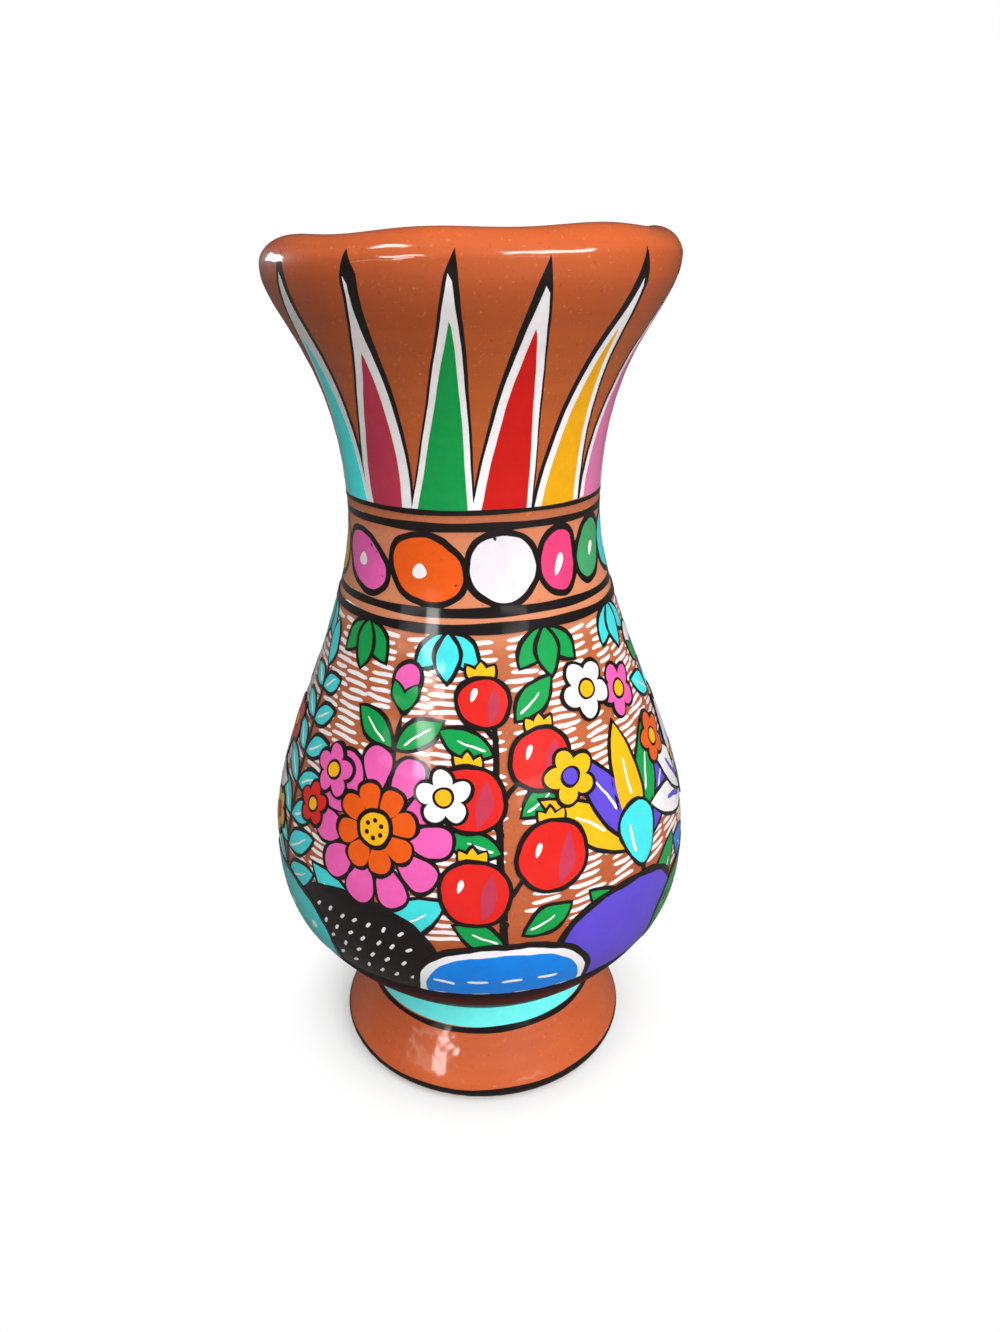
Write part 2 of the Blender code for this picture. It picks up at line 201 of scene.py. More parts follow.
class Field:
    """A socket in a finish, on which plain arithmetic adds Math nodes."""

    def __init__(self, finish, socket):
        self.finish = finish
        self.socket = socket

    def math(self, operation, *values):
        return self.finish.node("Math", {"operation": operation}, dict(enumerate(values)))

    def __add__(self, other):
        return self.math("ADD", self, other)

    def __radd__(self, other):
        return self.math("ADD", other, self)

    def __sub__(self, other):
        return self.math("SUBTRACT", self, other)

    def __rsub__(self, other):
        return self.math("SUBTRACT", other, self)

    def __mul__(self, other):
        return self.math("MULTIPLY", self, other)

    def clamped(self):
        return self.math("MINIMUM", self.math("MAXIMUM", self, 0.0), 1.0)

    def steep(self, middle, gain):
        """Contrast round a middle value, kept between 0 and 1."""
        return ((self - middle) * gain + 0.5).clamped()


class Finish:
    """A material being made: its shader, its Object coordinates and one way to add nodes."""

    def __init__(self, name):
        self.material = bpy.data.materials.new(name)
        self.material.use_nodes = True
        self.tree = self.material.node_tree
        self.shader = self.tree.nodes["Principled BSDF"]
        self.place = self.node("TexCoord", out="Object")

    def feed(self, socket, value):
        if isinstance(value, Field):
            self.tree.links.new(value.socket, socket)
        else:
            socket.default_value = value

    def node(self, kind, settings=None, sockets=None, out=0):
        node = self.tree.nodes.new("ShaderNode" + kind)
        for key, value in (settings or {}).items():
            setattr(node, key, value)
        for key, value in (sockets or {}).items():
            self.feed(node.inputs[key], value)
        return Field(self, node.outputs[out])

    def noise(self, scale, detail=3.0, rough=0.55, stretch=(1.0, 1.0, 1.0)):
        place = self.node("Mapping", {}, {"Vector": self.place, "Scale": stretch})
        grain = {"Vector": place, "Scale": scale, "Detail": detail, "Roughness": rough}
        return self.node("TexNoise", {}, grain)

    def mix(self, factor, low, high):
        return self.node("Mix", {"data_type": "RGBA"}, {0: factor, 6: low, 7: high}, out=2)

    def ramp(self, factor, stops):
        node = self.tree.nodes.new("ShaderNodeValToRGB")
        self.feed(node.inputs[0], factor)
        band = node.color_ramp
        ends = (band.elements[0], band.elements[1])
        for element, (place, colour) in zip(ends, (stops[0], stops[-1])):
            element.position = place
            element.color = colour
        for place, colour in stops[1:-1]:
            band.elements.new(place).color = colour
        return Field(self, node.outputs[0])

    def bump(self, height, strength, distance):
        return self.node("Bump", {}, {"Height": height, "Strength": strength, "Distance": distance})

    def set(self, **values):
        for key, value in values.items():
            self.feed(self.shader.inputs[key.replace("_", " ")], value)


def light(red, green, blue):
    """A colour as a picture shows it, as linear light."""
    shown = [value / 255 for value in (red, green, blue)]
    return (*[v / 12.92 if v <= 0.04045 else ((v + 0.055) / 1.055) ** 2.4 for v in shown], 1.0)


def shade(colour, share):
    return (*[min(value * share, 1.0) for value in colour[:3]], 1.0)


# The clay's colour by its share of the vase's height. The darker brown of the neck is the clay's own tone.
# The paler stops from 0.625 to 0.735 are painted light that lifts the shade falling on the collar under the
# flare. The lighter lip from 0.965 up is painted light for the light the lip catches
CLAY_TONES_AND_PAINTED_LIGHT = (
    (0.02, (212, 100, 52)), (0.10, (216, 106, 58)), (0.30, (182, 90, 46)), (0.60, (190, 104, 62)),
    (0.625, (222, 142, 102)), (0.715, (220, 138, 98)), (0.735, (196, 112, 72)), (0.75, (188, 94, 40)),
    (0.86, (186, 92, 36)), (0.93, (182, 84, 33)), (0.965, (193, 91, 43)), (1.0, (204, 96, 44)),
)
THIN_COVER = 0.84
FULL_COVER = 1.096


def varnished_clay():
    """Fired red clay under brushed varnish: cloudy tones, throwing streaks, dark and pale grog, and tones by
    height that carry painted light on the collar and the lip.
    """
    finish = Finish("varnished_clay")
    cloud = finish.noise(22, 4, 0.6).steep(0.5, 2.2)
    streak = finish.noise(30, 3, 0.6, (0.35, 0.35, 9.0)).steep(0.5, 2.0)
    grog = finish.noise(900, 1, 0.4)
    height = finish.node("SeparateXYZ", {}, {0: finish.place}, out="Z") * (1.0 / TOP)
    # The clay's own tones by height, mixed with painted light: a paler collar against the shade under the
    # flare, and a lighter lip
    ground = finish.ramp(height, [(place, light(*rgb)) for place, rgb in CLAY_TONES_AND_PAINTED_LIGHT])
    fleck = finish.node("Mix", {"data_type": "RGBA", "blend_type": "MULTIPLY"},
                        {0: (cloud * 0.6 + streak * 0.4) * 0.55, 6: ground, 7: light(196, 176, 160)}, out=2)
    tone = finish.mix((grog - 0.66).clamped() * 2.2, fleck, light(92, 44, 26))
    tone = finish.mix((0.33 - grog).clamped() * 2.0, tone, light(232, 160, 116))
    finish.set(Base_Color=tone, Roughness=0.46 + cloud * 0.12, Coat_Weight=0.75 + streak * 0.25)
    ripple = finish.noise(120, 2, 0.5, (0.6, 0.6, 1.3)) * 0.8 + grog * 0.2
    finish.set(Normal=finish.bump(ripple, 0.25, 0.3 * MM))
    finish.set(Coat_Roughness=0.09, Specular_IOR_Level=0.12, Coat_IOR=1.6)
    return finish.material


def raw_clay():
    """Bare fired clay inside and under the foot: chalky, gritty and scored by the potter's fingers."""
    finish = Finish("raw_clay")
    cloud = finish.noise(28, 5, 0.65).steep(0.5, 2.0)
    score = finish.noise(40, 3, 0.5, (0.2, 0.2, 12.0))
    grit = finish.noise(1100, 2, 0.6)
    tone = finish.mix(cloud * 0.7 + score * 0.3, light(170, 98, 66), light(205, 134, 98))
    tone = finish.mix((grit - 0.62).clamped() * 2.0, tone, light(120, 66, 46))
    finish.set(Base_Color=tone, Roughness=0.78 + grit * 0.15)
    finish.set(Normal=finish.bump(grit * 0.5 + score * 0.5, 0.35, 0.5 * MM))
    finish.set(Specular_IOR_Level=0.25)
    return finish.material


def enamel(name, colour, gloss=1.0):
    """Brushed enamel: uneven cover, fine bristle streaks and a skin of varnish."""
    finish = Finish(name)
    cover = finish.noise(75, 4, 0.6).steep(0.5, 2.0)
    bristle = finish.noise(420, 3, 0.6).steep(0.5, 1.8)
    tone = cover * 0.55 + bristle * 0.45
    finish.set(Base_Color=finish.mix(tone, shade(colour, THIN_COVER), shade(colour, FULL_COVER)))
    finish.set(Roughness=0.48 + cover * 0.14, Coat_Weight=(0.70 + bristle * 0.25) * gloss)
    finish.set(Normal=finish.bump(bristle * 0.5 + cover * 0.5, 0.12, 0.4 * MM))
    finish.set(Coat_Roughness=0.10, Specular_IOR_Level=0.10 * gloss)
    return finish.material


PAINTS = {
    "black": (22, 15, 14), "white": (238, 234, 236), "turquoise": (64, 214, 218), "purple": (92, 70, 200),
    "blue": (0, 126, 224), "red": (214, 28, 20), "coral": (216, 80, 80), "yellow": (240, 176, 10),
    "pink": (230, 92, 172), "green": (0, 150, 70), "orange": (226, 87, 8), "crimson": (184, 50, 76),
    "rose": (226, 62, 118), "teal": (62, 248, 252), "mauve": (222, 118, 168), "scarlet": (198, 11, 4),
    # The palest turquoise, for the waist band, is painted light: paler than the turquoise to lift the shade
    # that the belly casts on the waist
    "amber": (231, 165, 0), "leaf": (66, 158, 100), "pearl": (226, 219, 226), "turquoise_with_painted_light": (112, 255, 252),
    "mist": (222, 214, 226),
}
CLAY = varnished_clay()
RAW = raw_clay()
PAINT = {name: enamel("enamel_" + name, light(*rgb)) for name, rgb in PAINTS.items()}
# A dull, low-gloss near-black for the band round the lower belly, from 44.5 to 69.5 mm
PAINT["near_black"] = enamel("dull_soot", light(38, 27, 36), gloss=0.2)


# Thrown clay

def stretch_of(curve, low, high):
    """The part of a climbing curve between two heights, ends included."""
    inside = curve[(curve[:, 1] > low + 0.1 * MM) & (curve[:, 1] < high - 0.1 * MM)]
    ends = [[np.interp(height, curve[:, 1], curve[:, 0]), height] for height in (low, high)]
    return np.concatenate([[ends[0]], inside, [ends[1]]])


def select_only(obj):
    bpy.ops.object.select_all(action="DESELECT")
    obj.select_set(True)
    bpy.context.view_layer.objects.active = obj


def new_piece(name, points, edges, faces):
    mesh = bpy.data.meshes.new(name)
    mesh.from_pydata(points, edges, faces)
    piece = bpy.data.objects.new(name, mesh)
    bpy.context.scene.collection.objects.link(piece)
    return piece


def finish_piece(piece, slot, *nodes):
    """Smooth a piece, give it its body and hide the nodes it replaces; its slot is not used."""
    select_only(piece)
    bpy.ops.object.shade_smooth_by_angle(angle=math.radians(35))
    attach(piece, "root")
    if nodes:
        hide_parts(*nodes)


def thrown(name, section, materials, inside=None):
    """A section spun round the axis as on the wheel; faces that the test calls inside stay raw."""
    edges = [(index, index + 1) for index in range(len(section) - 1)]
    if section[0][0] > 0.0:
        edges.append((len(section) - 1, 0))
    piece = new_piece(name, [(radius, 0.0, height) for radius, height in section], edges, [])
    mesh = piece.data
    select_only(piece)
    bpy.ops.object.mode_set(mode="EDIT")
    bpy.ops.mesh.select_all(action="SELECT")
    bpy.ops.mesh.spin(steps=SEGMENTS, angle=2 * math.pi, center=(0, 0, 0), axis=(0, 0, 1))
    bpy.ops.mesh.select_all(action="SELECT")
    bpy.ops.mesh.remove_doubles(threshold=0.01 * MM)
    bpy.ops.mesh.normals_make_consistent(inside=False)
    bpy.ops.object.mode_set(mode="OBJECT")
    points = np.empty(len(mesh.vertices) * 3)
    mesh.vertices.foreach_get("co", points)
    points = points.reshape(-1, 3)
    radius = np.hypot(points[:, 0], points[:, 1])
    angle = np.arctan2(points[:, 0], -points[:, 1])
    swell = 1.0 + thrown_by_hand(angle, points[:, 2]) / np.maximum(radius, 8 * MM)
    points[:, :2] *= swell[:, None]
    points[:, 2] += lip_rise(angle, points[:, 2])
    mesh.vertices.foreach_set("co", points.ravel())
    for material in materials:
        mesh.materials.append(material)
    if inside:
        for face in mesh.polygons:
            face.material_index = int(inside(face.center, face.normal))
    return piece


def facing_in(centre, normal):
    return centre.x * normal.x + centre.y * normal.y < 0.0


def throw_foot():
    under = arc((BASE_RADIUS, FOOT_EDGE_HEIGHT), (FOOT_UNDER_ROUND, FOOT_EDGE_HEIGHT), 0, -90, 14)
    hollow = BASE_RADIUS - FOOT_BASE_WIDTH
    ceiling = FOOT_CEILING - CLEARANCE
    vault = arc((hollow, ceiling), (hollow - FOOT_BORE, ceiling - FOOT_EDGE_HEIGHT), 270, 180, 16)
    outside = stretch_of(OUTER, FOOT_EDGE_HEIGHT, COIL_BASE)[::-1]
    section = [*outside, *under[1:], (hollow + 1.2 * MM, 0.0), (hollow, 1.0 * MM), *vault,
               (WAIST_RADIUS - SPIGOT_DEPTH, ceiling)]
    raw = lambda centre, normal: facing_in(centre, normal) or normal.z < -0.9
    finish_piece(thrown("foot_ring", section, [CLAY, RAW], raw), "terracotta", "foot")


def throw_waist():
    outside = stretch_of(OUTER, COIL_BASE, WAIST_HEIGHT)
    section = [*outside, (WAIST_RADIUS - COIL_DEPTH, FOOT_CEILING)]
    # The waist band's paler turquoise is painted light against the shade under the belly
    finish_piece(thrown("waist_fillet", section, [PAINT["turquoise_with_painted_light"]]), "turquoise", "waist_coil")


def throw_belly():
    outside = stretch_of(OUTER, WAIST_HEIGHT, SEAM)
    hollow = stretch_of(INNER, FLOOR_TOP + 1.5 * MM, SEAM)[::-1]
    corner = hollow[-1]
    floor = [(corner[0] - 2.0 * MM, FLOOR_TOP + 0.3 * MM), (corner[0] - 5.0 * MM, FLOOR_TOP),
             (0.0, FLOOR_TOP)]
    section = [(0.0, FOOT_CEILING), (WAIST_RADIUS - SPIGOT_DEPTH, FOOT_CEILING), *outside, *hollow, *floor]
    raw = lambda centre, normal: facing_in(centre, normal) or abs(normal.z) > 0.97
    finish_piece(thrown("belly_wall", section, [CLAY, RAW], raw), "terracotta", "belly")


def throw_neck():
    outside = stretch_of(OUTER, SEAM, RIM_SEAT)
    hollow = stretch_of(INNER, SEAM, RIM_SEAT)[::-1]
    varnish_end = RIM_SEAT - VARNISH_DEPTH
    raw = lambda centre, normal: facing_in(centre, normal) and centre.z < varnish_end
    finish_piece(thrown("neck_wall", [*outside, *hollow], [CLAY, RAW], raw), "terracotta", "neck")


def throw_neck_coil():
    low, high = (corner[2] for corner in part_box("neck_coil"))
    back = stretch_of(INNER, low, high)
    front = []
    for height in np.linspace(high, low, 18)[1:-1]:
        bulge = NECK_COIL_BULGE * math.sin(math.pi * (height - low) / (high - low))
        front.append((np.interp(height, INNER[:, 1], INNER[:, 0]) - 0.2 * MM - bulge, height))
    finish_piece(thrown("neck_seam_coil", [*back, *front], [RAW]), "raw_clay", "neck_coil")


def throw_rim():
    crest = LIP_RADIUS - LIP_ROUND
    outside = stretch_of(OUTER[:-1], RIM_SEAT, OUTER[-2][1])
    roll = arc((crest, TOP - LIP_INNER_DROP), (LIP_INNER_ROUND, LIP_INNER_DROP), 90, 180, 14)
    neck_inside = np.interp(RIM_SEAT, INNER[:, 1], INNER[:, 0])
    back = bezier(roll[-1], roll[-1] - (0, 4 * MM), (neck_inside + 0.5 * MM, RIM_SEAT + 3 * MM),
                  (neck_inside, RIM_SEAT), 10)
    finish_piece(thrown("rolled_lip", [*outside, *roll, *back[1:]], [CLAY]), "terracotta", "rim_coil")


# Coats of paint

def stencil(outline, corners, cells):
    """A flat closed slab with the given outline, cut into cells so that it can follow the wall."""
    bpy.ops.mesh.primitive_circle_add(vertices=corners, radius=1.0, fill_type="NGON")
    pattern = bpy.context.object
    mesh = pattern.data
    for index, vertex in enumerate(mesh.vertices):
        vertex.co = (*outline(index / corners), 0.0)
    low = [min(vertex.co[axis] for vertex in mesh.vertices) for axis in (0, 1)]
    high = [max(vertex.co[axis] for vertex in mesh.vertices) for axis in (0, 1)]
    bpy.ops.object.mode_set(mode="EDIT")
    bpy.ops.mesh.select_all(action="SELECT")
    bpy.ops.mesh.normals_make_consistent(inside=False)
    for axis, count in enumerate(cells):
        for step in range(1, count):
            place = [0.0, 0.0, 0.0]
            across = [0.0, 0.0, 0.0]
            place[axis] = low[axis] + (high[axis] - low[axis]) * step / count
            across[axis] = 1.0
            bpy.ops.mesh.select_all(action="SELECT")
            bpy.ops.mesh.bisect(plane_co=place, plane_no=across)
    bpy.ops.object.mode_set(mode="OBJECT")
    if mesh.polygons[0].normal.z < 0.0:
        mesh.flip_normals()
    slab = pattern.modifiers.new("slab", "SOLIDIFY")
    slab.thickness = 1.0
    slab.offset = -1.0
    bpy.ops.object.modifier_apply(modifier=slab.name)
    points = np.array([vertex.co[:] for vertex in mesh.vertices])
    faces = [tuple(face.vertices) for face in mesh.polygons]
    bpy.data.objects.remove(pattern)
    bpy.data.meshes.remove(mesh)
    return points, faces


def disc(share):
    turn = 2 * math.pi * share
    return math.cos(turn), math.sin(turn)


def petal(share):
    """A rounded petal from its root at 0 to its tip at 1, widest past the middle."""
    turn = 2 * math.pi * share
    along = 0.5 - 0.5 * math.cos(turn)
    return 0.5 * math.sin(turn) * (0.55 + 0.55 * along), along


def up_and_down(share):
    """How far along a two-sided outline is, and on which side."""
    return (2 * share, 1.0) if share < 0.5 else (2 - 2 * share, -1.0)


def leaf(share):
    """A leaf pointed at both ends, from 0 to 1."""
    along, side = up_and_down(share)
    return side * 0.5 * math.sin(math.pi * along) ** 0.85, along


def hump(share):
    """A rounded hill with a straight foot, half a unit to each side and 1 high."""
    if share < 0.25:
        return -0.5 + 4 * share, 0.0
    turn = math.pi * (share - 0.25) / 0.75
    across = math.cos(turn)
    rise = max(math.sin(turn), 0.0)
    return 0.5 * math.copysign(abs(across) ** 0.8, across), rise ** 0.7


def dash(share):
    """A short brush stroke, 1 long and 1 wide, with round ends."""
    turn = 2 * math.pi * share
    return 0.5 * math.copysign(abs(math.cos(turn)) ** 0.45, math.cos(turn)), 0.5 * math.sin(turn)


def stalk(share):
    """A brushed stalk from 0 up to 1, thinning toward its tip."""
    along, side = up_and_down(share)
    return side * 0.5 * (1.0 - 0.45 * along) * min(1.0, 14 * along, 14 * (1 - along) + 0.2), along


STENCILS = {
    "disc": stencil(disc, 40, (9, 9)),
    "spot": stencil(disc, 20, (4, 4)),
    "petal": stencil(petal, 26, (4, 6)),
    "leaf": stencil(leaf, 36, (4, 14)),
    "leaflet": stencil(leaf, 22, (3, 8)),
    "hump": stencil(hump, 96, (22, 30)),
    "dash": stencil(dash, 12, (4, 1)),
    "stalk": stencil(stalk, 36, (1, 18)),
}

# Small dabs are cut with a coarser stencil: its name, and the size in mm below which it is used
SMALL = {"disc": ("spot", 5.3), "leaf": ("leaflet", 22.0)}


def cut(shape, size):
    """The stencil for a dab of a given size in mm."""
    coarse, limit = SMALL.get(shape, (shape, 0.0))
    return STENCILS[coarse if max(size) < limit else shape]


class Coat:
    """One painted piece: dabs of several colours laid over each other on the wall."""

    FIRST = 0.05 * MM
    STEP = 0.02 * MM
    SINK = 0.03 * MM

    def __init__(self, name):
        self.name = name
        self.points = []
        self.faces = []
        self.colours = []
        self.indices = []
        self.count = 0

    def lay(self, shape, colour, level, place, size, spot=(0.0, 0.0), turn=0.0, bend=0.0,
            fixed=None, beat=None, sway=0.24):
        """Lay one dab at a level: the motif's angle and height, then its own size, spot and turn."""
        flat, faces = cut(shape, size) if isinstance(shape, str) else shape
        angle, height = place
        x = flat[:, 0] * size[0]
        y = flat[:, 1] * size[1]
        x = x + bend * flat[:, 1] ** 2
        beat = dice.uniform(0.0, 6.0) if beat is None else beat + dice.uniform(-0.5, 0.5)
        sway = min(sway, 0.03 * max(np.ptp(x), np.ptp(y)))
        pace = 0.26 if np.ptp(y) > 30.0 else 0.45
        x = x + sway * (np.sin(pace * y + 0.2 * x + beat) + 0.25 * np.sin(3.1 * pace * y + 2.0 * beat))
        y = y + sway * (np.sin(0.45 * x - 0.2 * y + 3.0 * beat) + 0.25 * np.sin(1.2 * x + beat))
        cos, sin = math.cos(turn), math.sin(turn)
        across = (spot[0] + x * cos - y * sin) * MM
        reach = reach_at(height) + (spot[1] + x * sin + y * cos) * MM
        radius = fixed or np.interp(reach, REACH, OUTER[:, 0])
        lift = np.where(flat[:, 2] > -0.5, self.FIRST + level * self.STEP, -self.SINK)
        self.points.append(on_wall(angle + across / radius, reach, lift))
        self.faces += [tuple(corner + self.count for corner in face) for face in faces]
        if colour not in self.colours:
            self.colours.append(colour)
        self.indices += [self.colours.index(colour)] * len(faces)
        self.count += len(flat)

    def edged(self, shape, colour, level, place, size, spot=(0.0, 0.0), turn=0.0, bend=0.0, rim=1.5):
        """A dab with a black edge under it."""
        if shape == "disc":
            grown = (size[0] + rim, size[1] + rim)
            start = spot
        else:
            grown = (size[0] + 2 * rim, size[1] + 2 * rim)
            start = (spot[0] + rim * math.sin(turn), spot[1] - rim * math.cos(turn))
        beat = dice.uniform(0.0, 6.0)
        pattern = cut(shape, size)
        self.lay(pattern, "black", level, place, grown, start, turn, bend, beat=beat)
        self.lay(pattern, colour, level + 2, place, size, spot, turn, bend, beat=beat)

    def dry(self, slot, *nodes):
        piece = new_piece(self.name, np.concatenate(self.points).tolist(), [], self.faces)
        for colour in self.colours:
            piece.data.materials.append(PAINT[colour])
        piece.data.polygons.foreach_set("material_index", self.indices)
        piece.data.validate()
        finish_piece(piece, slot, *nodes)


# Bands of the neck and foot

def brush_line(name, low, high, node, wander=0.25, first_lift=0.07, spacing=2.0, paint="black"):
    """A line or band drawn round the vase between two heights, with a loaded brush on the turning wheel."""
    middle = (reach_at(low) + reach_at(high)) / 2
    half = (reach_at(high) - reach_at(low)) / 2
    rows = np.linspace(-1.0, 1.0, 3 + 2 * int(half / (spacing * MM)))
    points = []
    for index in range(SEGMENTS):
        angle = 2 * math.pi * index / SEGMENTS
        drift = wander * MM * (math.sin(2 * angle + 9 * low) + 0.6 * math.sin(5 * angle))
        press = 0.14 * math.sin(3 * angle + 40 * low) + 0.08 * math.sin(11 * angle)
        reach = middle + drift + rows * (half + press * min(half, 1.8 * MM))
        points.append(on_wall(angle, reach, first_lift * MM))
        points.append(on_wall(angle, reach[::-1], -Coat.SINK))
    ring = 2 * len(rows)
    faces = []
    for index in range(SEGMENTS):
        here = ring * index
        there = ring * ((index + 1) % SEGMENTS)
        for corner in range(ring):
            after = (corner + 1) % ring
            faces.append((here + corner, there + corner, there + after, here + after))
    piece = new_piece(name, np.concatenate(points).tolist(), [], faces)
    piece.data.materials.append(PAINT[paint])
    finish_piece(piece, "black", node)


class Side(NamedTuple):
    """One side of a spike, in mm: its curve from foot to top, and the black and white lines along it."""

    curve: tuple
    ink: tuple
    line: tuple


SPIKE_FOOT = 223.5 * MM
SPIKE_COUNT = 14
SPIKE_PITCH = 2 * math.pi / SPIKE_COUNT
# For each spike: colour, slot, left side, right side, height of the white, tip of the black across and up
SPIKES = (
    ("teal", "turquoise", Side((-9.6, -8.0, -1.5, 6.6), (1.0, 1.2), (2.0, 1.8)),
     Side((11.2, 8.2, 5.5, 7.2), (1.4, 1.5), (0.9, 5.4)), 71.0, (7.4, 77.0)),
    ("crimson", "crimson", Side((-8.2, -11.8, 5.0, 5.6), (1.0, 0.7), (2.6, 2.0)),
     Side((9.6, 10.0, 3.7, 6.4), (0.7, 2.3), (3.4, 1.9)), 70.0, (6.6, 77.0)),
    ("green", "green", Side((-9.6, -3.8, 2.6, 6.0), (0.6, 0.7), (2.0, 1.6)),
     Side((9.6, 8.7, 7.9, 6.6), (0.6, 1.1), (1.8, 1.3)), 70.0, (7.3, 75.8)),
    ("scarlet", "red", Side((-10.2, -5.2, 0.4, 3.8), (0.6, 1.7), (2.8, 1.6)),
     Side((8.3, 10.2, 7.3, 4.5), (0.5, 0.6), (1.6, 2.2)), 66.5, (4.4, 74.0)),
    ("amber", "yellow", Side((-10.0, -4.5, 2.8, 7.0), (1.2, 2.2), (2.4, 1.7)),
     Side((7.6, 8.4, 7.9, 7.5), (0.9, 1.1), (2.3, 1.4)), 67.5, (6.6, 75.4)),
    ("mauve", "pink", Side((-10.2, -8.5, 4.5, 7.6), (1.2, 1.6), (2.0, 1.7)),
     Side((9.0, 9.2, 9.0, 8.4), (0.8, 1.0), (2.0, 1.6)), 68.0, (8.2, 75.0)),
    ("orange", "orange", Side((-9.6, -5.0, 1.4, 5.0), (0.7, 1.3), (2.2, 1.6)),
     Side((9.2, 9.0, 7.6, 5.8), (0.6, 0.9), (2.0, 1.5)), 68.0, (5.6, 75.0)),
)


def side_at(side, way, line, tall, tip=None):
    """Places across a spike's side by height, moved by a line's width and led on to the tip."""
    def across(up):
        share = min(up / tall, 1.0)
        place = cubic(share, *side.curve)
        place += way * (line[0] * (1.0 - share) + line[1] * share)
        if tip and up > tall:
            place += (tip[0] - place) * (up - tall) / (tip[1] - tall)
        return place
    return across


def blade(left, right, height):
    """Outline between two sides, with a straight foot."""
    def outline(share):
        if share < 0.1:
            return left(0.0) + (right(0.0) - left(0.0)) * share / 0.1, 0.0
        if share < 0.55:
            up = height * (share - 0.1) / 0.45
            return right(up), up
        up = height * (1.0 - share) / 0.45
        return left(up), up
    return outline


def paint_spikes():
    """The crown of thorns: black outline with a long tip, a white line and a colour inside."""
    for number in range(SPIKE_COUNT):
        colour, slot, left, right, tall, tip = SPIKES[number % len(SPIKES)]
        place = ((number - 2.5) * SPIKE_PITCH, SPIKE_FOOT)
        turn = jitter(0.012) if number >= len(SPIKES) else 0.0
        inner_left = side_at(left, 1.0, left.line, tall)
        inner_right = side_at(right, -1.0, right.line, tall)
        fill = next(up for up in np.arange(5.0, tall, 0.25) if inner_right(up) - inner_left(up) < 0.3)
        layers = (
            ("black", side_at(left, -1.0, left.ink, tall, tip), side_at(right, 1.0, right.ink, tall, tip),
             tip[1]),
            ("white", side_at(left, 0.0, left.line, tall), side_at(right, 0.0, right.line, tall), tall),
            (colour, inner_left, inner_right, fill),
        )
        coat = Coat(f"spike_paint_{number + 1:02d}")
        beat = dice.uniform(0.0, 6.0)
        for level, (paint, from_side, to_side, height) in enumerate(layers):
            shape = stencil(blade(from_side, to_side, height), 80, (11, 60))
            coat.lay(shape, paint, 3 * level, place, (1.0, 1.0), turn=turn, fixed=NECK_RADIUS,
                     beat=beat, sway=0.07)
        coat.dry(slot, f"spike_{number + 1:02d}")


# For each dot: bearing in degrees, height and half sizes in mm, turn, bend, colour and slot,
# then its dab of light paint: across, up, wide, long, turn
DOTS = (
    (-53.1, 204.6, 11.8, 7.2, -0.54, 0.0, "pink", "pink", (-1.0, 2.4, 5.0, 4.2, 3.14)),
    (-20.0, 205.2, 12.2, 9.4, -0.39, 0.0, "orange", "orange", (-2.0, 2.0, 5.6, 4.8, 3.14)),
    (11.6, 205.6, 10.5, 10.3, -0.30, 0.0, "pearl", "white", (0.3, -1.8, 5.0, 6.0, 0.20)),
    (36.4, 205.8, 6.5, 9.7, -0.06, 1.5, "rose", "rose", (-1.6, -4.6, 3.2, 7.6, -0.45)),
    (57.4, 206.6, 6.4, 9.7, -0.47, 0.0, "leaf", "green", (-0.6, -2.6, 2.6, 5.0, -0.50)),
    (81.0, 205.2, 10.0, 9.8, -0.20, 0.0, "turquoise", "turquoise", (-1.0, -3.2, 3.0, 6.4, -0.40)),
    (108.5, 205.0, 10.8, 9.5, 0.30, 0.0, "red", "red", (-0.6, 2.2, 5.2, 4.6, 3.00)),
    (137.0, 205.4, 9.0, 10.0, 0.10, 1.2, "yellow", "yellow", (0.4, -3.4, 3.0, 6.8, -0.30)),
    (165.5, 204.8, 11.0, 8.8, -0.40, 0.0, "pink", "pink", (-1.2, 2.0, 5.0, 4.4, 3.20)),
    (194.5, 205.4, 9.6, 10.1, 0.20, 0.0, "green", "green", (0.0, -3.0, 2.8, 6.0, 0.30)),
    (222.5, 205.6, 10.0, 10.3, 0.00, 0.0, "pearl", "white", (0.5, -2.0, 5.0, 6.0, 0.10)),
    (250.0, 205.2, 10.2, 9.4, -0.30, 0.0, "orange", "orange", (-1.4, 2.0, 5.4, 4.6, 3.10)),
    (276.5, 205.0, 8.8, 9.6, 0.25, 0.8, "yellow", "yellow", (-0.4, -3.0, 3.0, 6.2, -0.40)),
)


def paint_dots():
    """The ring of large dots, each with a thick black rim that runs into the lines, and a light dab."""
    for number, (bearing, height, wide, tall, turn, bend, colour, slot, dab) in enumerate(DOTS):
        coat = Coat(f"dot_paint_{number + 1:02d}")
        place = (math.radians(bearing), height * MM)
        coat.edged("disc", colour, 0, place, (wide, tall), turn=turn, bend=bend, rim=2.1)
        across, up, dab_wide, dab_long, dab_turn = dab
        paint = "mist" if colour == "pearl" else "white"
        coat.lay("petal", paint, 5, place, (dab_wide, dab_long), (across, up), dab_turn)
        coat.dry(slot, f"dot_{number + 1:02d}")


